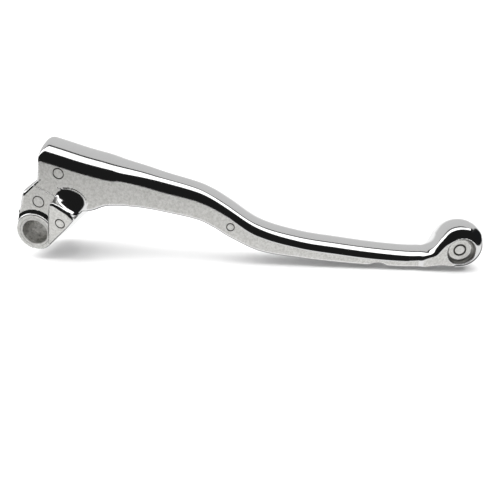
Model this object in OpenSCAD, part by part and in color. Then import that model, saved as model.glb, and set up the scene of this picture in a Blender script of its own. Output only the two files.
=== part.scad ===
// Motorcycle clutch lever: one aluminium casting that swings on a steel pivot bush.
// Frame: pivot axis along Y through the origin, blade along +X, +Z forward (away from
// the handlebar grip), -Y the flat underside, Y = 0 at half the blade's thickness.

/* [Blade] */
// Thickness of the finger blade, from the flat underside to the upper side
blade_t = 14; // [12:0.5:16]
// Radius of the long edges on the grip side
low_edge_r = 1.2; // [0.6:0.1:2]
// Number of cross-sections along the blade
blade_steps = 40; // [30:2:80]

/* [Ball end] */
// Radius of the safety ball
ball_r = 9.3; // [8:0.1:10]
// Distance from the pivot axis to the ball's centre along X
ball_x = 168.4; // [160:0.1:175]
// Height of the ball's centre over the pivot axis
ball_z = -2.1; // [-4:0.1:0]
// Radius of the round recess in the ball's flat
recess_r = 5; // [3:0.1:5.5]
// Depth of the recess
recess_d = 1.8; // [0.5:0.1:3]

/* [Pivot] */
// Radius of the boss around the pivot
boss_r = 7.6; // [7:0.1:8.5]
// Height of the boss's thrust face over the flat underside
boss_h = 1.6; // [0.5:0.1:3]
// Radius of the pivot bore in the casting
bore_r = 6; // [5.6:0.05:6.4]
// Radius of the hole through the bush, for the pivot bolt's shoulder
bush_hole_r = 5; // [4:0.05:5.2]
// Radial running clearance between bush and casting
bush_clearance = 0.04; // [0.02:0.01:0.1]
// How far each end of the bush lies below the boss's face
bush_inset = 0.2; // [0.1:0.1:3]

/* [Head] */
// Thickness of the head, from the flat underside to the upper side
head_t = 21; // [19:0.5:22]
// Height of the stop lug over the flat underside
lug_h = 5.5; // [3:0.5:6]

/* [Cable nipple seat] */
// Radius of the seat for the clutch cable's barrel nipple
nipple_r = 4.05; // [3.6:0.05:4.1]
// Depth of the seat from the head's upper side
nipple_d = 15; // [10:0.5:16]
// Width of the slot that the cable passes through
cable_slot_w = 2.6; // [2.2:0.1:3]
// Half width of the slot's flare where it leaves the head
flare = 4.5; // [3:0.1:5]

/* [Hidden] */

near_y = -blade_t / 2;
// The plate under the boss stands proud of the blade's flat sides by this much
pad_h = 0.2;
head_far_y = near_y + head_t;
boss_far_y = head_far_y + 1.4;
boss_near_y = near_y - boss_h;
lug_y = near_y - lug_h;
cut = 40;

// Sections of the blade: [x, crown z, bottom z, far face y, near and far corner radius,
// radius of the crown between them]
SECTIONS = [
    [  4, 38.6, 17.0, head_far_y, 6.8, 12.0],
    [ 13, 35.4, 13.0, head_far_y, 6.8, 12.0],
    [ 22, 32.4,  9.4, head_far_y, 6.8, 12.0],
    [ 30, 30.6, 12.0, head_far_y, 6.8, 12.0],
    [ 42, 27.3, 11.8, head_far_y - 3.8, 5.1, 10.0],
    [ 54, 23.4, 10.2, head_far_y - 6.2, 6.0, 8.6],
    [ 67, 20.1,  7.2, blade_t / 2 + 0.4, 5.3, 8.8],
    [ 73, 17.3,  4.1, blade_t / 2 + 0.2, 4.7, 8.9],
    [ 79, 13.5,  0.4, blade_t / 2, 4.1, 9.0],
    [ 91,  5.1, -5.2, blade_t / 2, 4.1, 8.7],
    [107,  0.3, -8.2, blade_t / 2, 3.8, 8.3],
    [123, -1.9, -9.8, blade_t / 2, 3.8, 8.3],
    [137, -3.8, -10.6, blade_t / 2 - 0.3, 3.6, 8.2],
    [150, -4.5, -10.4, blade_t / 2 - 0.7, 3.0, 8.2],
    [158, -2.3, -9.6, blade_t / 2 - 1, 3.0, 8.0],
    [166, 4.8, -8.6, blade_t / 2 - 1, 3.2, 8.0]
];
SECTION_X = [for (s = SECTIONS) s[0]];

// Left edge of the head: its x at height lean_z, its lean, and where the lean fades out
head_left_x = 5.6;
lean_z = 28;
edge_lean = 0.236;
lean_length = 20;
corner_r = 4.4;
// Centre and radius of the shallow break-off notch in the grip-side edge
notch = [138, -14.4, 5.4];
// Angle of the lug's upper edge, length and radius of the ramp that runs up to it
ramp_lean = 36;
ramp_l = 6.6;
ramp_r = 11;
ramp_h = lug_h - 0.8;
ramp_a = acos(1 - ramp_h / ramp_r);
// Barrel nipple seat, 27 mm from the pivot axis
nipple = [11.5, 24.5];

function arc(c, r, a0, a1, n = 12) =
    [for (i = [0:n]) let (a = a0 + (a1 - a0) * i / n) c + r * [cos(a), sin(a)]];

// Smooth curve through column k of SECTIONS, at x
function slope(i, k) =
    let (a = max(i - 1, 0), b = min(i + 1, len(SECTIONS) - 1))
    (SECTIONS[b][k] - SECTIONS[a][k]) / (SECTION_X[b] - SECTION_X[a]);
function smooth(x, k) =
    let (i = max([for (j = [0:len(SECTIONS) - 2]) if (SECTION_X[j] <= x) j]),
         w = SECTION_X[i + 1] - SECTION_X[i], t = (x - SECTION_X[i]) / w,
         p = SECTIONS[i][k], q = SECTIONS[i + 1][k])
    (2 * t ^ 3 - 3 * t ^ 2 + 1) * p + (t ^ 3 - 2 * t ^ 2 + t) * w * slope(i, k)
    + (3 * t ^ 2 - 2 * t ^ 3) * q + (t ^ 3 - t ^ 2) * w * slope(i + 1, k);

// One cross-section as [y, z] points: a crown arc that runs tangent into two corner
// arcs, flat sides, and a slightly rounded grip side
function section(x, drop) =
    let (crown_r = smooth(x, 5), r = smooth(x, 4), e = low_edge_r,
         half = (smooth(x, 3) - near_y) / 2, low = smooth(x, 2) + e,
         c = smooth(x, 1) - drop - crown_r,
         h = sqrt((crown_r - r) ^ 2 - (half - r) ^ 2),
         a = atan2(h, half - r), step = (180 - 2 * a) / 8)
    [for (p = concat(arc([half - r, c + h], r, 0, a, 4),
                     arc([0, c], crown_r, a + step, 180 - a - step, 6),
                     arc([r - half, c + h], r, 180 - a, 180, 4),
                     arc([e - half, low], e, 180, 270, 3), arc([half - e, low], e, 270, 360, 3)))
        p + [near_y + half, 0]];

// The rings lean with the head's left edge, and the first ones round its upper corner
module blade_sweep() {
    x0 = head_left_x;
    x1 = SECTION_X[len(SECTION_X) - 1];
    first = x0 + corner_r;
    xs = concat([for (a = [0:18:72]) x0 + corner_r * (1 - cos(a))],
                [for (i = [0:blade_steps]) first + (x1 - first) * i / blade_steps]);
    rings = [for (x = xs)
        let (lean = edge_lean * max(0, 1 - (x - x0) / lean_length),
             dx = min(corner_r, x - x0),
             drop = corner_r - sqrt(corner_r ^ 2 - (corner_r - dx) ^ 2))
        [for (p = section(x, drop)) [x + lean * (p[1] - lean_z), p[0], p[1]]]];
    n = len(rings[0]);
    last = len(rings) - 1;
    sides = [for (i = [0:last - 1], j = [0:n - 1])
        let (a = i * n + j, b = i * n + (j + 1) % n) each [[a, a + n, b], [b, a + n, b + n]]];
    caps = [[for (j = [0:n - 1]) j], [for (j = [n - 1:-1:0]) last * n + j]];
    polyhedron(points = [for (r = rings) each r], faces = concat(sides, caps), convexity = 6);
}

// A prism along Y, from an outline in X and Z, between two Y values
module prism(outline, y0, y1) {
    translate([0, y1, 0])
        rotate([90, 0, 0])
            linear_extrude(y1 - y0)
                polygon(outline);
}

module y_cylinder(x, z, r, y0, y1) {
    translate([x, y1, z])
        rotate([90, 0, 0])
            cylinder(r = r, h = y1 - y0, $fn = 96);
}

// Flat part of the head below the blade: the boss's outline, the stepped left edge
// and the straight edge from the boss to the lug
module head_plate() {
    prism(concat(arc([0, 0], boss_r, 167, 311, 24),
                 arc([16.8, 7.2], 1.6, 311, 345, 3), [[20.3, 8.6], [24.8, 10.8], [30, 14]],
                 [[30, 22], [6, 28], [4.2, 21.6]], arc([-2.9, 15.3], 2, 124, 167, 4)),
          near_y - pad_h, head_far_y + pad_h);
}

module lug() {
    prism(concat([[6.4, -4.4]], arc([16.2, 7], 2.2, 311, 345, 3), arc([15.6, 8], 2.2, 10, 55, 4),
                 arc([12.4, 10.4], 2.2, 55, 140, 5), [[7.8, 2]]), lug_y, near_y + 1);
}

// Concave ramp from the blade's flat side up to the lug's face, drawn in a frame whose
// X runs along the lug's upper edge and Z away from it
module lug_ramp() {
    translate([13, near_y + 1, 12.65])
        rotate([0, ramp_lean, 0])
            translate([-0.4, 0, 0])
                rotate([90, 0, 90])
                    linear_extrude(ramp_l)
                        polygon(concat([[0, -3], [-1 - ramp_h, -3]],
                                       [for (a = [ramp_a:-ramp_a / 6:0])
                                           [-1 - ramp_r * (1 - cos(a)),
                                            ramp_r * (sin(ramp_a) - sin(a))]],
                                       [[0, ramp_r * sin(ramp_a)]]));
}

module ball() {
    difference() {
        translate([ball_x, 0, ball_z])
            sphere(r = ball_r, $fn = 48);
        translate([ball_x - cut / 2, near_y - pad_h - cut, ball_z - cut / 2])
            cube(cut);
        y_cylinder(ball_x, ball_z, recess_r, near_y - 1, near_y + recess_d);
    }
}

// Blind seat for the barrel nipple, with the cable's slot flaring to the left edge
module nipple_seat() {
    y_cylinder(nipple[0], nipple[1], nipple_r, head_far_y - nipple_d, head_far_y + 1);
    prism([[nipple[0], nipple[1] - cable_slot_w / 2], [nipple[0], nipple[1] + cable_slot_w / 2],
           [nipple[0] - nipple_r, nipple[1] + cable_slot_w / 2], [-4, nipple[1] + flare],
           [-4, nipple[1] - flare], [nipple[0] - nipple_r, nipple[1] - cable_slot_w / 2]],
          head_far_y - nipple_d + 3, head_far_y + 1);
}

// The casting's skin is joined into one closed mesh first (minkowski of a single child);
// the bore, the notch and the nipple seat are then cut from it as true cylinders
module lever_casting() {
    color("silver")
        difference() {
            minkowski() {
                union() {
                    blade_sweep();
                    head_plate();
                    lug();
                    lug_ramp();
                    y_cylinder(0, 0, boss_r, boss_near_y, boss_far_y);
                    ball();
                }
            }
            y_cylinder(0, 0, bore_r, -cut, cut);
            y_cylinder(notch[0], notch[1], notch[2], -cut, cut);
            nipple_seat();
        }
}

module pivot_bush() {
    color("gray")
        difference() {
            y_cylinder(0, 0, bore_r - bush_clearance, boss_near_y + bush_inset,
                       boss_far_y - bush_inset);
            y_cylinder(0, 0, bush_hole_r, -cut, cut);
        }
}

lever_casting();
pivot_bush();
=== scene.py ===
"""Clutch lever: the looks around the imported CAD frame.

The lever casting is one implicit solid. Named shapes below give the distance to each
feature in millimetres, rounded unions and intersections blend them, and the zero
surface is meshed once, then every point is moved onto the exact surface.
"""

import math
import bmesh
import bpy
import numpy as np
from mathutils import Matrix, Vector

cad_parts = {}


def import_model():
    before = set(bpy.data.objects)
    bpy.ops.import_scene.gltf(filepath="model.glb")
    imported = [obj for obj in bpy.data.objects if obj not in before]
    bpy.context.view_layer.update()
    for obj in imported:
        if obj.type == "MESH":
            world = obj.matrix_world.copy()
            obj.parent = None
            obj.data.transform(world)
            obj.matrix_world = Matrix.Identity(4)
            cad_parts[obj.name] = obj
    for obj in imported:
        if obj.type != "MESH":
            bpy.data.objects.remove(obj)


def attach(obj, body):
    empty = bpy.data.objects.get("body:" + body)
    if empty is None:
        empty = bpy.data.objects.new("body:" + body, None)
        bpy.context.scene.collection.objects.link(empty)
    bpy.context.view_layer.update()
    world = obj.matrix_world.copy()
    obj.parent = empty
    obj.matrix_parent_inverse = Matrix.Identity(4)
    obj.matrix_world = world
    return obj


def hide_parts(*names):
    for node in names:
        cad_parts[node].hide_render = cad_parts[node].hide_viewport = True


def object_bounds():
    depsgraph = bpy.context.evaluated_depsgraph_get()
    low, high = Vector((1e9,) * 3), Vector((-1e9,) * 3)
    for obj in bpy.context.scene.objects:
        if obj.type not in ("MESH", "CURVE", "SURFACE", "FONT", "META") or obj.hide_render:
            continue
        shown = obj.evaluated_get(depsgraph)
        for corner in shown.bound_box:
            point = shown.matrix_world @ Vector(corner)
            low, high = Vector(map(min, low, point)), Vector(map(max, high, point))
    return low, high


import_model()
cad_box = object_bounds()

import openvdb
from mathutils import Matrix, Vector

MM = 0.001

# ---------------------------------------------------------------- driving sizes (mm)
NEAR_Y = -7.0            # flat underside of the blade and head
HEAD_FAR_Y = 14.0        # upper side of the head
PAD = 0.2                # the plate under the boss stands this proud of the flats
BOSS_R, BOSS_NEAR_Y, BOSS_FAR_Y = 7.6, -8.6, 15.4
BUSH_R, BUSH_HOLE_R, BUSH_INSET = 6.0, 5.0, 0.05
LUG_Y = -12.5
BALL = (169.0, 0.0, -2.6)
BALL_R = 9.75
RECESS_X, RECESS_Z = 168.85, -3.5
RECESS_R, RECESS_D = 5.0, 1.8
NIPPLE_X, NIPPLE_Z, NIPPLE_R, NIPPLE_D = 11.5, 24.5, 4.05, 15.0
NOTCH_X, NOTCH_Z, NOTCH_R = 138.0, -14.9, 5.4
LUG_SLOPE, BOSS_SLOPE = math.radians(42), math.radians(43)   # steepest part of each ramp
LEFT_DRAFT = 0.17        # the head's left face leans out towards the upper side
CELL, BUSH_CELL = 0.31, 0.22   # size of the grids that the pieces are meshed on

# Blade: x, crown z, bottom z, upper side y, radius of the long corners, crown radius
BLADE = np.array([
    [4, 37.4, 17.0, 14.0, 6.9, 12.5],
    [13, 34.7, 13.0, 14.0, 6.9, 12.5],
    [22, 31.9, 8.8, 14.0, 6.9, 12.5],
    [30, 29.8, 10.9, 14.0, 7.0, 12.5],
    [34, 28.7, 11.2, 13.0, 6.7, 12.0],
    [37, 27.9, 11.2, 11.6, 5.3, 11.0],
    [45, 25.9, 10.6, 9.5, 5.5, 9.6],
    [54, 23.3, 9.1, 7.9, 6.2, 8.8],
    [67, 19.6, 6.2, 7.3, 5.7, 8.9],
    [73, 16.9, 3.2, 7.2, 5.0, 9.0],
    [79, 13.2, -0.6, 7.1, 4.4, 9.0],
    [91, 5.2, -6.2, 7.0, 4.8, 8.8],
    [107, 0.5, -8.7, 7.0, 4.5, 8.4],
    [123, -1.8, -10.2, 7.0, 4.5, 8.4],
    [137, -3.4, -10.9, 6.7, 4.3, 8.2],
    [150, -4.2, -11.1, 6.3, 3.6, 8.2],
    [156.5, -3.9, -10.8, 6.0, 3.3, 8.8],
    [160, -3.3, -10.2, 6.0, 3.3, 9.5],
    [168, -0.6, -8.8, 6.0, 3.3, 9.5],
])
# Marks left by the die's ejector pins on the near side: x, z, radius, width of the ring
RING_MARKS = [
    (13.3, 24.0, 2.0, 0.5),
    (3.2, 12.5, 2.2, 0.45),
    (12.7, 5.0, 1.85, 0.5),
    (79.6, 3.9, 1.5, 0.45),
    (RECESS_X, RECESS_Z, 2.1, 0.75),
]
MARK_DEPTH, MARK_SIDE_Y = 0.16, -4.0


# ---------------------------------------------------------------- distance operators
def smooth(x, column):
    """Smooth curve through one column of BLADE."""
    xs, ys = BLADE[:, 0], BLADE[:, column]
    slope = np.empty_like(ys)
    slope[1:-1] = (ys[2:] - ys[:-2]) / (xs[2:] - xs[:-2])
    slope[0] = (ys[1] - ys[0]) / (xs[1] - xs[0])
    slope[-1] = (ys[-1] - ys[-2]) / (xs[-1] - xs[-2])
    i = np.clip(np.searchsorted(xs, x, side="right") - 1, 0, len(xs) - 2)
    w = xs[i + 1] - xs[i]
    t = (x - xs[i]) / w
    inside = np.clip(t, 0, 1)
    t2, t3 = inside ** 2, inside ** 3
    curve = ((2 * t3 - 3 * t2 + 1) * ys[i] + (t3 - 2 * t2 + inside) * w * slope[i]
             + (3 * t2 - 2 * t3) * ys[i + 1] + (t3 - t2) * w * slope[i + 1])
    return curve + (t - inside) * w * np.where(t < 0, slope[0], slope[-1])


def both(a, b, r):
    """Intersection with a convex edge of radius r."""
    return np.minimum(np.maximum(a, b), -r) + np.hypot(np.maximum(a + r, 0), np.maximum(b + r, 0))


def either(a, b, r):
    """Union with a concave fillet of radius r."""
    return np.maximum(np.minimum(a, b), r) - np.hypot(np.maximum(r - a, 0), np.maximum(r - b, 0))


def without(a, b, r):
    """a with b cut away, its rim rounded to radius r."""
    return both(a, -b, r)


def ease(t):
    """Smooth step from 0 at t = 0 to 1 at t = 1."""
    t = np.clip(t, 0, 1)
    return t * t * (3 - 2 * t)


def plane(x, z, px, pz, nx, nz):
    """Distance beyond the line through (px, pz) with outward normal (nx, nz)."""
    n = math.hypot(nx, nz)
    return (nx * (x - px) + nz * (z - pz)) / n


def slab(y, low, high):
    """Distance outside the layer between y = low and y = high."""
    return np.abs(y - (low + high) / 2) - (high - low) / 2


# ---------------------------------------------------------------- the casting's shapes
def left_edge(x, z):
    return plane(x, z, 4.2, 21.6, -0.973, 0.230)


def diagonal_edge(x, z):
    return plane(x, z, 4.99, -5.74, 0.656, -0.755)


def lug_wall(x, z):
    return plane(x, z, 18.35, 6.05, 0.77, -0.64)


def across(x, column, z, step=0.5):
    """Distance above a long curve of the blade, measured square to it."""
    rise = (smooth(x + step, column) - smooth(x - step, column)) / (2 * step)
    return (z - smooth(x, column)) / np.sqrt(1 + rise ** 2)


def crowned(u, w, half, r, crown):
    """Cross-section: flat sides at u = half, corners of radius r, a crown arc on top."""
    u = np.abs(u)
    corner_u = half - r
    corner_t = np.sqrt(np.maximum((crown - r) ** 2 - corner_u ** 2, 0.01))
    t = w + crown
    corner = np.hypot(u - corner_u, t - corner_t) - r
    on_crown = corner_u * t - corner_t * u > 0
    return np.where(on_crown, np.hypot(u, t) - crown, np.where(t < corner_t, u - half, corner))


def blade(x, y, z):
    far, r, crown = (smooth(x, k) for k in (3, 4, 5))
    near = NEAR_Y - 3.0 * ease((x - 153.5) / 6)   # runs past the flat that trims the neck
    half = (far - near) / 2
    w = across(x, 1, z)
    d = crowned(y - near - half, w, half, r, crown)
    low_side = both(-across(x, 2, z), np.abs(y - near - half) - half, 1.1)
    d = both(d, low_side, 0.3)
    # the left end: a soft upper corner that sharpens towards the flat side
    r_left = 0.8 + 2.4 * np.clip((w + 6.0) / 4.0, 0, 1)
    drawn = left_edge(x + LEFT_DRAFT * (y - NEAR_Y), z)
    d = both(d, drawn, r_left)
    return np.maximum(d, x - 166.0)


def plate_outline(x, z):
    d = np.maximum(plane(x, z, -7.4, 1.75, -0.973, 0.230), diagonal_edge(x, z))
    d = np.maximum(d, plane(x, z, -7.4, 1.75, -0.517, -0.856))
    d = both(d, plane(x, z, -4.8, 15.4, -0.59, 0.807), 1.6)
    d = np.minimum(d, np.hypot(x, z) - BOSS_R)
    return both(d, lug_wall(x, z), 0.8)


def ramp_up(height, s, run, r, slope, share=1.0):
    """Ground that rises over the last run before s = 0: a concave arc, then straight.
    Outside the ramp it sinks away below the flat."""
    q = np.maximum(run - s, 0)
    arc = np.minimum(q, r * math.sin(slope))
    lift = (r - np.sqrt(r * r - arc * arc) + (q - arc) * math.tan(slope)) * share
    sunk = 0.3 * ease(s - run) + 0.3 * (1 - share)
    return (height - lift + 0.03 + sunk) / 1.3


def stop_lug(x, y, z, height):
    """The raised lug beside the boss and the concave ramp that rises to it."""
    left = plane(x, z, 6.3, 2.4, -0.955, 0.297)
    top = plane(x, z, 17.5, 9.4, 0.586, 0.810)
    along = plane(x, z, 17.5, 9.4, 0.810, -0.586)
    outline = both(both(left, top, 2.4), plane(x, z, 18.2, 7.6, 0.969, 0.246), 1.6)
    fall = plane(x, z, 5.0, -5.7, -0.66, -0.75)
    face = both(height - (NEAR_Y - LUG_Y), (height - 1.6 + 0.30 * fall) / 1.044, 4.0)
    offset = (along + 1.5) / np.where(along < -1.5, 8.5, 6.0)
    run = 7.5 * np.sqrt(1 - np.clip(offset, -1, 1) ** 2)
    share = ease((0.8 - left) / 3.2)
    steep = 0.7 * np.clip(0.8 - np.maximum(top, 0), 0, 0.8) * share
    ground = ramp_up(height - steep, np.maximum(top, 0), run, 7.4, LUG_SLOPE, share)
    wall = either(ground, outline, 0.6)
    return both(wall, face, 1.4)


def casting(x, y, z):
    height = NEAR_Y - y
    body = blade(x, y, z)
    plate_xz = plate_outline(x, z)
    r_plate = 0.7 + 1.8 * np.clip((z - x - 13) / 5, 0, 1)
    bound = plane(x, z, 3.4, 22.5, 0.44, 0.90)
    plate = np.maximum(both(plate_xz, slab(y, NEAR_Y + 0.03, HEAD_FAR_Y - 0.03), r_plate), bound)
    pad = both(both(plate_xz, slab(y, NEAR_Y - PAD, HEAD_FAR_Y), r_plate),
               plane(x, z, 3.4, 18.5, 0.44, 0.90), 0.12)
    d = np.minimum(np.minimum(body, plate), pad)
    # stop lug and ramp, kept inside the outline of the head
    blade_xz = np.maximum(np.maximum(across(x, 1, z) + 3, -across(x, 2, z)), left_edge(x, z))
    hill = both(stop_lug(x, y, z, height), np.minimum(blade_xz, plate_xz), 0.5)
    hill = np.maximum(hill, np.hypot(x - 14.0, z - 7.0) - 15.0)
    d = np.minimum(d, np.maximum(hill, -height - 0.5))
    # pivot boss, with a shallow groove across its lower rim
    round_boss = np.hypot(x, z) - BOSS_R
    boss = both(round_boss, slab(y, BOSS_NEAR_Y, BOSS_FAR_Y), 0.4)
    skirt = ramp_up(height - PAD, np.maximum(round_boss, 0), 1.95, 2.6, BOSS_SLOPE)
    skirt = np.maximum(np.maximum(skirt, plate_xz), -height - 0.5)
    skirt = np.maximum(skirt, round_boss - 3.0)
    d = np.minimum(d, np.minimum(boss, skirt))
    groove = np.maximum(np.maximum(np.abs(x + 0.5) - 1.9, z + 4.0), y - BOSS_NEAR_Y - 0.5)
    d = without(d, groove, 0.05)
    # ball end
    bx, by, bz = x - BALL[0], y - BALL[1], z - BALL[2]
    ball = np.sqrt(bx ** 2 + by ** 2 + bz ** 2) - BALL_R
    d = either(d, ball, 3.0 + 3.3 * np.clip((bz + 4) / 8, 0, 1))
    rim = 0.7 + 1.4 * np.clip((z - RECESS_Z) / 6, 0, 1) * np.clip((x - 160) / 4, 0, 1)
    trim = NEAR_Y - PAD * ease((x - 152) / 10) - y
    d = both(d, np.where(x > 150, trim, -50.0), rim)
    # openings
    radial = np.hypot(x - RECESS_X, z - RECESS_Z)
    recess = both(radial - RECESS_R - 0.2, slab(y, NEAR_Y - 4, NEAR_Y + RECESS_D), 1.3)
    d = without(d, recess, 0.3)
    d = without(d, np.hypot(x, z) - BUSH_R, 0.02)
    d = without(d, np.hypot(x - NOTCH_X, z - NOTCH_Z) - NOTCH_R, 0.5)
    seat = np.maximum(np.hypot(x - NIPPLE_X, z - NIPPLE_Z) - NIPPLE_R,
                      HEAD_FAR_Y - NIPPLE_D - y)
    flare = np.clip((NIPPLE_X - NIPPLE_R - x) / 11.5, 0, 1)
    slot = np.maximum(np.abs(z - NIPPLE_Z) - (1.3 + 3.2 * flare), x - NIPPLE_X)
    slot = np.maximum(slot, HEAD_FAR_Y - NIPPLE_D + 3 - y)
    return without(d, np.minimum(seat, slot), 0.3)


def mark_profile(x, y, z):
    """1 along the middle of each ejector ring, falling to 0 at its sides."""
    profile = 0.0
    for mx, mz, r, width in RING_MARKS:
        spread = (np.hypot(x - mx, z - mz) - r) / (width / 2)
        profile = np.maximum(profile, np.clip(1 - spread ** 2, 0, 1))
    return np.where(y < MARK_SIDE_Y, profile, 0.0)


def marked_casting(x, y, z):
    """The casting with the ejector-pin rings pressed into its flats."""
    return casting(x, y, z) + MARK_DEPTH * mark_profile(x, y, z)


def bush(x, y, z):
    """Plain bush with a chamfer on both ends and a rough drilled hole."""
    r = np.hypot(x, z)
    angle = np.arctan2(z, x)
    length = slab(y, BOSS_NEAR_Y + BUSH_INSET, BOSS_FAR_Y - BUSH_INSET)
    rough = (0.035 * np.sin(5 * angle + 1.3) + 0.03 * np.sin(11 * angle + 0.9 * y)
             + 0.02 * np.sin(23 * angle - 1.7 * y))
    outside = both(r - (BUSH_R - 0.01), length, 0.02)
    return without(outside, r - BUSH_HOLE_R + rough, 0.12)


# ---------------------------------------------------------------- meshing
def gradient(shape, p, h=0.02):
    x, y, z = p.T
    d = shape(x, y, z)
    g = np.stack([shape(x + h, y, z) - shape(x - h, y, z),
                  shape(x, y + h, z) - shape(x, y - h, z),
                  shape(x, y, z + h) - shape(x, y, z - h)], axis=1) / (2 * h)
    return d, g


def settle(shape, p, reach):
    """Moves points onto the zero surface of shape; returns them and their normals."""
    for _ in range(5):
        d, g = gradient(shape, p)
        p = p - np.clip(d, -reach, reach)[:, None] * g / np.maximum((g * g).sum(1), 0.05)[:, None]
    _, g = gradient(shape, p)
    return p, g / np.maximum(np.linalg.norm(g, axis=1), 1e-6)[:, None]


def implicit_piece(name, shape, low, high, cell, fine_shape=None, fine_zones=()):
    """Meshes the zero surface of shape; inside the fine zones it is divided further, so
    that the small marks of fine_shape come out as real grooves."""
    axes = [np.arange(a, b + cell, cell) for a, b in zip(low, high)]
    gx, gy, gz = axes[0][:, None, None], axes[1][None, :, None], axes[2][None, None, :]
    field = np.ascontiguousarray(np.broadcast_to(
        shape(gx, gy, gz), [len(a) for a in axes]).astype(np.float32))
    grid = openvdb.FloatGrid(background=5.0)
    grid.copyFromArray(field)
    points, triangles, quads = grid.convertToPolygons(isovalue=0.0)
    p, _ = settle(shape, points.astype(np.float64) * cell + np.array(low), cell)
    mesh = bpy.data.meshes.new(name)
    mesh.from_pydata(p.tolist(), [], quads.tolist() + triangles.tolist())
    if len(fine_zones):
        bm = bmesh.new()
        bm.from_mesh(mesh)
        for _ in range(2):
            edges = set()
            for face in bm.faces:
                c = face.calc_center_median()
                for mx, mz, r, width in fine_zones:
                    spread = abs(math.hypot(c.x - mx, c.z - mz) - r)
                    if spread < width / 2 + 0.3 and c.y < MARK_SIDE_Y:
                        edges.update(face.edges)
                        break
            bmesh.ops.subdivide_edges(bm, edges=list(edges), cuts=1, use_grid_fill=True)
        bm.to_mesh(mesh)
        bm.free()
    count = len(mesh.vertices)
    p = np.empty(count * 3)
    mesh.vertices.foreach_get("co", p)
    p, normals = settle(fine_shape or shape, p.reshape(-1, 3), 0.2)
    mesh.vertices.foreach_set("co", (p * MM).ravel())
    mesh.update()
    mesh.polygons.foreach_set("use_smooth", [True] * len(mesh.polygons))
    mesh.normals_split_custom_set_from_vertices(normals.tolist())
    obj = bpy.data.objects.new(name, mesh)
    bpy.context.scene.collection.objects.link(obj)
    return obj, p, normals


def set_attribute(obj, name, values):
    attribute = obj.data.attributes.new(name, "FLOAT", "POINT")
    attribute.data.foreach_set("value", values.astype(np.float32))


# ---------------------------------------------------------------- materials
class Shader:
    """Short helpers around one material's node tree."""

    def __init__(self, name):
        self.material = bpy.data.materials.new(name)
        self.material.use_nodes = True
        self.nodes, self.links = self.material.node_tree.nodes, self.material.node_tree.links
        self.bsdf = self.nodes["Principled BSDF"]
        self.coord = self.nodes.new("ShaderNodeTexCoord").outputs["Object"]

    def link(self, value, socket):
        self.links.new(value, socket)

    def noise(self, scale, detail=4.0, roughness=0.6):
        n = self.nodes.new("ShaderNodeTexNoise")
        n.inputs["Scale"].default_value = scale
        n.inputs["Detail"].default_value = detail
        n.inputs["Roughness"].default_value = roughness
        self.link(self.coord, n.inputs["Vector"])
        return n.outputs["Fac"]

    def attribute(self, name):
        n = self.nodes.new("ShaderNodeAttribute")
        n.attribute_name = name
        return n.outputs["Fac"]

    def remap(self, value, low, high, to_low, to_high):
        n = self.nodes.new("ShaderNodeMapRange")
        for key, number in (("From Min", low), ("From Max", high),
                            ("To Min", to_low), ("To Max", to_high)):
            n.inputs[key].default_value = number
        self.link(value, n.inputs["Value"])
        return n.outputs["Result"]

    def math(self, operation, a, b):
        n = self.nodes.new("ShaderNodeMath")
        n.operation = operation
        for k, v in enumerate((a, b)):
            if isinstance(v, (int, float)):
                n.inputs[k].default_value = v
            else:
                self.link(v, n.inputs[k])
        return n.outputs["Value"]

    def mix(self, factor, a, b):
        n = self.nodes.new("ShaderNodeMix")
        n.data_type = "RGBA"
        self.link(factor, n.inputs["Factor"])
        for socket, v in ((n.inputs[6], a), (n.inputs[7], b)):
            if isinstance(v, tuple):
                socket.default_value = (*v, 1)
            else:
                self.link(v, socket)
        return n.outputs[2]

    def bump(self, height, strength, distance, normal=None):
        n = self.nodes.new("ShaderNodeBump")
        n.inputs["Distance"].default_value = distance
        if isinstance(strength, (int, float)):
            n.inputs["Strength"].default_value = strength
        else:
            self.link(strength, n.inputs["Strength"])
        self.link(height, n.inputs["Height"])
        if normal is not None:
            self.link(normal, n.inputs["Normal"])
        return n.outputs["Normal"]


def lever_material():
    s = Shader("polished_cast_aluminium")
    flat = s.attribute("cast_flat")
    dull_and_painted_shade = s.attribute("dull_and_painted_shade")
    groove = s.attribute("groove")
    fine = s.noise(1100.0, 5.0, 0.7)
    cloud = s.noise(160.0, 3.0)
    polished = s.mix(cloud, (0.81, 0.81, 0.81), (0.87, 0.87, 0.87))
    speckle = s.mix(s.remap(fine, 0.36, 0.62, 0, 1), (0.66, 0.655, 0.625), (0.90, 0.895, 0.87))
    tone = s.mix(flat, polished, speckle)
    # darker colour for the dull bore and for the painted shade in the ball's recess
    tone = s.mix(dull_and_painted_shade, tone, (0.33, 0.32, 0.30))
    # painted shade: the ejector-ring grooves are coloured near black
    tone = s.mix(groove, tone, (0.07, 0.065, 0.06))
    s.link(tone, s.bsdf.inputs["Base Color"])
    s.bsdf.inputs["Metallic"].default_value = 1.0
    rough = s.math("ADD", s.remap(flat, 0, 1, 0.05, 0.30), s.remap(fine, 0.3, 0.7, 0, 0.05))
    s.link(s.math("MAXIMUM", rough, s.remap(dull_and_painted_shade, 0, 1, 0, 0.6)), s.bsdf.inputs["Roughness"])
    strength = s.remap(flat, 0, 1, 0.012, 0.32)
    s.link(s.bump(fine, strength, 0.0002), s.bsdf.inputs["Normal"])
    return s.material


def bush_material():
    s = Shader("dull_turned_steel")
    inner = s.attribute("inner")
    patch = s.noise(420.0, 6.0, 0.75)
    wall = s.mix(s.remap(patch, 0.35, 0.65, 0, 1), (0.42, 0.415, 0.40), (0.95, 0.94, 0.91))
    rim = s.mix(s.remap(patch, 0.35, 0.65, 0, 1), (0.66, 0.655, 0.625), (0.90, 0.895, 0.87))
    s.link(s.mix(inner, rim, wall), s.bsdf.inputs["Base Color"])
    s.bsdf.inputs["Metallic"].default_value = 1.0
    s.link(s.remap(inner, 0, 1, 0.32, 0.55), s.bsdf.inputs["Roughness"])
    s.link(s.bump(patch, 0.5, 0.0003), s.bsdf.inputs["Normal"])
    return s.material


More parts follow.
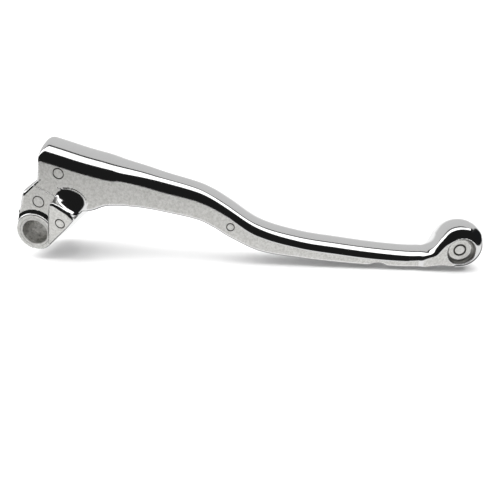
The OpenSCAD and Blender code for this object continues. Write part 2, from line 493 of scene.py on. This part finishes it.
# ---------------------------------------------------------------- the two pieces
low = np.array(cad_box[0]) / MM - 1.5
high = np.array(cad_box[1]) / MM + 1.5
lever, points, normals = implicit_piece("lever_body", casting, low, high, CELL,
                                        marked_casting,
                                        RING_MARKS + [(0, 0, BUSH_R, 0.4), (0, 0, BOSS_R, 0.8)])
px, py, pz = points.T
marks = mark_profile(px, py, pz)
# the flats, and the lug's sloping face, are left as cast; the rest is polished
facing = np.clip((np.abs(normals[:, 1]) - 0.9975) / 0.0018, 0, 1)
lug_facing = np.clip((-normals[:, 1] - 0.9) / 0.03, 0, 1) * (normals[:, 2] < 0.05)
on_lug = (np.hypot(px - 12, pz - 3) < 14) & (py < -8.2)
facing = np.where(on_lug, lug_facing, facing)
set_attribute(lever, "cast_flat", np.maximum(facing, marks > 0))
# the groove attribute carries the painted shade of the ejector-ring grooves
set_attribute(lever, "groove", np.clip(marks * 1.6, 0, 1))
# painted shade darkens the corner of the ball's recess, and the bore is made dull and dark
from_recess = np.hypot(px - RECESS_X, pz - RECESS_Z)
deep = (py > NEAR_Y + 0.25) & (py < NEAR_Y + RECESS_D + 0.1)
# painted shade: a ring along the inner corner of the ball's recess
painted_recess_shade = deep & (np.abs(from_recess - RECESS_R + 0.3) < 0.6)
set_attribute(lever, "dull_and_painted_shade", np.where(np.hypot(px, pz) < BUSH_R + 0.05, 1.0, painted_recess_shade * 0.85))
lever.data.materials.append(lever_material())
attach(lever, "lever")
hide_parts("lever_casting")

reach = BUSH_R + 0.6
pivot, points, normals = implicit_piece(
    "bush_body", bush, (-reach, BOSS_NEAR_Y - 0.6, -reach), (reach, BOSS_FAR_Y + 0.6, reach),
    BUSH_CELL, None, [(0, 0, BUSH_R, 0.4)])
from_axis = np.hypot(points[:, 0], points[:, 2])
set_attribute(pivot, "inner", np.where(from_axis < BUSH_HOLE_R + 0.2, 1.0, 0.0))
pivot.data.materials.append(bush_material())
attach(pivot, "pivot")
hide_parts("pivot_bush")

# ---------------------------------------------------------------- stage
FLOOR_Z = (BALL[2] - BALL_R) * MM   # the ball end rests on the floor
FLOOR_HALF = 30.0                   # metres, so that the floor fills the frame
corners = [(-1, -1), (1, -1), (1, 1), (-1, 1)]
floor_mesh = bpy.data.meshes.new("floor")
floor_mesh.from_pydata([(FLOOR_HALF * a, FLOOR_HALF * b, 0) for a, b in corners],
                       [], [(0, 1, 2, 3)])
floor = bpy.data.objects.new("floor", floor_mesh)
floor.location.z = FLOOR_Z
bpy.context.scene.collection.objects.link(floor)
white = bpy.data.materials.new("white_floor")
white.use_nodes = True
white.node_tree.nodes["Principled BSDF"].inputs["Base Color"].default_value = (0.92, 0.92, 0.92, 1)
white.node_tree.nodes["Principled BSDF"].inputs["Roughness"].default_value = 0.9
floor.data.materials.append(white)
floor.visible_glossy = False


def world():
    """Studio surroundings by direction. Around the X axis: white floor, a dark room on the
    near side, a long white softbox overhead, a grey wall behind. The softbox and the wall
    end on the right, where the room is dark again."""
    w = bpy.data.worlds.new("studio")
    bpy.context.scene.world = w
    w.use_nodes = True
    nodes, links = w.node_tree.nodes, w.node_tree.links

    def node(kind, **settings):
        n = nodes.new(kind)
        for key, value in settings.items():
            setattr(n, key, value)
        return n

    split = node("ShaderNodeSeparateXYZ")
    links.new(node("ShaderNodeTexCoord").outputs["Generated"], split.inputs["Vector"])
    flip = node("ShaderNodeMath", operation="MULTIPLY")
    flip.inputs[1].default_value = -1.0
    angle = node("ShaderNodeMath", operation="ARCTAN2")
    links.new(split.outputs["Y"], flip.inputs[0])
    links.new(split.outputs["Z"], angle.inputs[0])
    links.new(flip.outputs["Value"], angle.inputs[1])

    def ramp(value, low, high, stops):
        scale = node("ShaderNodeMapRange")
        scale.inputs["From Min"].default_value = low
        scale.inputs["From Max"].default_value = high
        links.new(value, scale.inputs["Value"])
        r = node("ShaderNodeValToRGB")
        links.new(scale.outputs["Result"], r.inputs["Fac"])
        elements = r.color_ramp.elements
        elements[0].position, elements[1].position = 0.0, 1.0
        for at, _ in stops[1:-1]:
            elements.new((at - low) / (high - low))
        for e, (at, level) in zip(elements, stops):
            e.position = (at - low) / (high - low)
            e.color = (*level, 1) if isinstance(level, tuple) else (level, level, level, 1)
        return r.outputs["Color"]

    around = ramp(angle.outputs["Value"], -math.pi, math.pi,
                  [(math.radians(a), level) for a, level in AROUND])
    right = ramp(split.outputs["X"], -1.0, 1.0, RIGHT_END)
    above = ramp(split.outputs["Z"], -1.0, 1.0, [(-1.0, 0.0), (-0.06, 0.0), (0.0, 1.0), (1.0, 1.0)])
    both_masks = node("ShaderNodeMath", operation="MULTIPLY")
    links.new(right, both_masks.inputs[0])
    links.new(above, both_masks.inputs[1])
    mix = node("ShaderNodeMix", data_type="RGBA")
    links.new(both_masks.outputs["Value"], mix.inputs["Factor"])
    links.new(around, mix.inputs[6])
    mix.inputs[7].default_value = (0.012, 0.012, 0.013, 1)
    links.new(mix.outputs[2], nodes["Background"].inputs["Color"])


# Degrees around the X axis: -90 straight down, 0 near side, 90 overhead, 180 far side
# Straight down (-115 to -68) the surroundings are dark: painted shade that stands for
# the lever's own shadow on the floor, seen in reflections on its undersides.
AROUND = [(-180, 1.1), (-140, 0.9), (-115, 0.08), (-68, 0.12), (-61, 0.9), (-13, 0.9),
          (-10, 0.012), (66, 0.012), (69, 1.7), (95.0, 1.7), (95.8, 0.02), (101.5, 0.02),
          (102.3, 0.60), (158, 0.63), (172, 1.1), (180, 1.1)]
RIGHT_END = [(-1.0, 0.0), (0.76, 0.0), (0.80, 1.0), (1.0, 1.0)]
world()


def area_light(name, place, target, size, power):
    data = bpy.data.lights.new(name, "AREA")
    data.shape = "RECTANGLE"
    data.size, data.size_y = size
    data.energy = power
    obj = bpy.data.objects.new(name, data)
    obj.location = place
    obj.rotation_euler = (Vector(target) - Vector(place)).to_track_quat("-Z", "Y").to_euler()
    obj.visible_glossy = False
    bpy.context.scene.collection.objects.link(obj)


area_light("overhead", (-0.3, 0.3, 1.2), (0.09, 0, 0), (1.8, 1.4), 5)
sun_data = bpy.data.lights.new("fill", "SUN")
sun_data.energy = 3.6
sun_data.angle = math.radians(150)
sun = bpy.data.objects.new("fill", sun_data)
sun.rotation_euler = Vector((0.3, -0.35, -1.0)).to_track_quat("-Z", "Y").to_euler()
sun.visible_glossy = False
bpy.context.scene.collection.objects.link(sun)

# ---------------------------------------------------------------- camera
CAMERA_MM = (99.9, -167.0, 66.1)
AZIMUTH, ELEVATION = math.radians(4.5), math.radians(24.0)
SENSOR, FOCAL_PX, IMAGE_PX = 36.0, 440.0, 500.0
back = Vector((math.sin(AZIMUTH) * math.cos(ELEVATION),
               -math.cos(AZIMUTH) * math.cos(ELEVATION), math.sin(ELEVATION)))
right = Vector((math.cos(AZIMUTH), math.sin(AZIMUTH), 0))
up = back.cross(right)
camera_data = bpy.data.cameras.new("camera")
camera_data.sensor_width = SENSOR
camera_data.lens = SENSOR * FOCAL_PX / IMAGE_PX
camera_data.clip_start = 0.01
camera = bpy.data.objects.new("camera", camera_data)
camera.matrix_world = Matrix((
    (right.x, up.x, back.x, CAMERA_MM[0] * MM),
    (right.y, up.y, back.y, CAMERA_MM[1] * MM),
    (right.z, up.z, back.z, CAMERA_MM[2] * MM),
    (0, 0, 0, 1)))
bpy.context.scene.collection.objects.link(camera)
bpy.context.scene.camera = camera
bpy.context.scene.view_settings.view_transform = "Standard"
